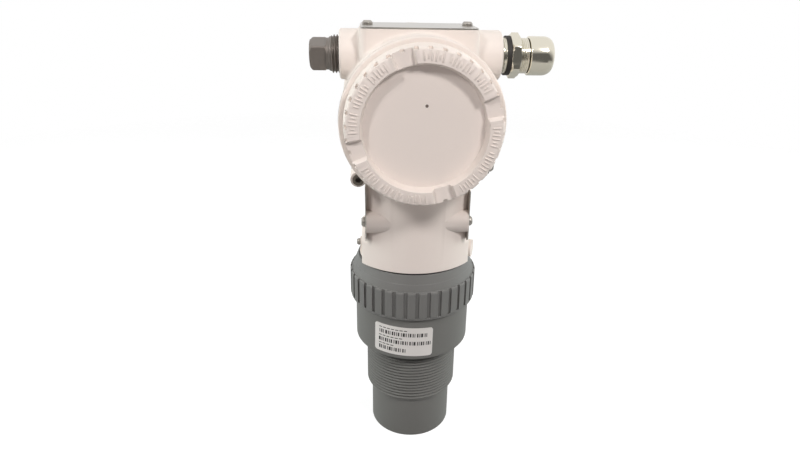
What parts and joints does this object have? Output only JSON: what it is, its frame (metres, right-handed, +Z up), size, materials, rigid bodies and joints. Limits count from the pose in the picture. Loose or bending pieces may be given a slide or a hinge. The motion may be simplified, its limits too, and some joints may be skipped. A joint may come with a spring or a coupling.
{
  "type": "ultrasonic level transmitter",
  "caption": "Ultrasonic level transmitter with a cast housing, screw covers, cable gland and pipe plug, held by a ribbed union nut on a plastic sensor with a pipe thread.",
  "frame": {"origin": "centre of the nose's bottom face, the sensing face", "axes": "+Z up the sensor's axis, -Y out of the front cover, +X out of the cable gland"},
  "size_m": [0.1365, 0.12, 0.2665],
  "materials": {
    "housing_paint": "satin paint on a casting",
    "pvc_grey": "turned and moulded plastic",
    "label_white": "printed film",
    "stainless": "satin",
    "dark_steel": "blackened",
    "nickel_plate": "bright nickel plate",
    "black_rubber": "matt",
    "nylon": "moulded",
    "epoxy": "cast",
    "ceramic": "fired",
    "cork": "cut",
    "circuit_board": "coated",
    "dark_plastic": "moulded",
    "brass": "turned",
    "capacitor_sleeve": "shrunk sleeve"
  },
  "bodies": {
    "sensor": {"transducer_body": "pvc_grey", "sensor_label": "label_white", "union_gasket": "black_rubber", "matching_layer": "epoxy", "piezo_disc": "ceramic", "isolation_ring": "cork", "backing_block": "epoxy", "temperature_probe": "brass", "socket_board": "circuit_board", "sensor_socket": "nylon"},
    "union_nut": {"union_nut": "pvc_grey"},
    "housing": {"housing": "housing_paint", "top_plate": "stainless", "top_plate_screws": "stainless", "left_side_plate": "stainless", "right_side_plate": "stainless", "side_plate_screws": "stainless", "rotation_lock_screw": "stainless", "ground_screw": "stainless", "ground_washer": "stainless", "front_lock_screw": "dark_steel", "rear_lock_screw": "dark_steel", "conduit_plug": "dark_steel", "gland_body": "nickel_plate", "gland_seal_ring": "black_rubber", "gland_claw": "nylon", "gland_insert": "black_rubber", "main_board": "circuit_board", "power_board": "circuit_board", "board_spacers": "brass", "board_screws": "stainless", "board_header": "nylon", "board_transformer": "dark_plastic", "board_capacitors": "capacitor_sleeve", "feedthrough": "dark_plastic", "lead_plug": "nylon", "sensor_lead": "black_rubber", "terminal_block": "dark_plastic", "terminal_clamps": "brass", "terminal_screws": "stainless", "terminal_block_screws": "stainless", "inner_ground_screw": "stainless"},
    "front_seal": {"front_cover_seal": "black_rubber"},
    "front_cover": {"front_cover": "housing_paint"},
    "rear_seal": {"rear_cover_seal": "black_rubber"},
    "rear_cover": {"rear_cover": "housing_paint"},
    "slip_washer": {"gland_slip_washer": "nylon"},
    "dome_nut": {"gland_dome_nut": "nickel_plate"}
  },
  "joints": [
    {"name": "housing_turn", "type": "hinge", "parent": "sensor", "child": "housing", "pos_m": [0, 0, 0.119], "axis": [0, 0, 1], "range_deg": [-170, 170]},
    {"name": "union_nut_turn", "type": "hinge", "parent": "sensor", "child": "union_nut", "pos_m": [0, 0, 0.113], "axis": [0, 0, 1], "range_deg": [0, 180]},
    {"name": "front_cover_turn", "type": "hinge", "parent": "housing", "child": "front_seal", "pos_m": [0, -0.044, 0.2195], "axis": [0, -1, 0], "range_deg": [0, 1800]},
    {"name": "front_cover_travel", "type": "slide", "parent": "front_seal", "child": "front_cover", "axis": [0, -1, 0], "range_m": [0, 0.0075]},
    {"name": "rear_cover_turn", "type": "hinge", "parent": "housing", "child": "rear_seal", "pos_m": [0, 0.044, 0.2195], "axis": [0, 1, 0], "range_deg": [0, 1800]},
    {"name": "rear_cover_travel", "type": "slide", "parent": "rear_seal", "child": "rear_cover", "axis": [0, 1, 0], "range_m": [0, 0.0075]},
    {"name": "gland_nut_turn", "type": "hinge", "parent": "housing", "child": "slip_washer", "pos_m": [0.0709, 0, 0.2485], "axis": [1, 0, 0], "range_deg": [0, 1080]},
    {"name": "gland_nut_travel", "type": "slide", "parent": "slip_washer", "child": "dome_nut", "axis": [1, 0, 0], "range_m": [0, 0.0045]}
  ],
  "couplings": [
    {"joint": "front_cover_travel", "follows": "front_cover_turn", "m_per_rad": 0.00023873},
    {"joint": "rear_cover_travel", "follows": "rear_cover_turn", "m_per_rad": 0.00023873},
    {"joint": "gland_nut_travel", "follows": "gland_nut_turn", "m_per_rad": 0.00023873}
  ]
}
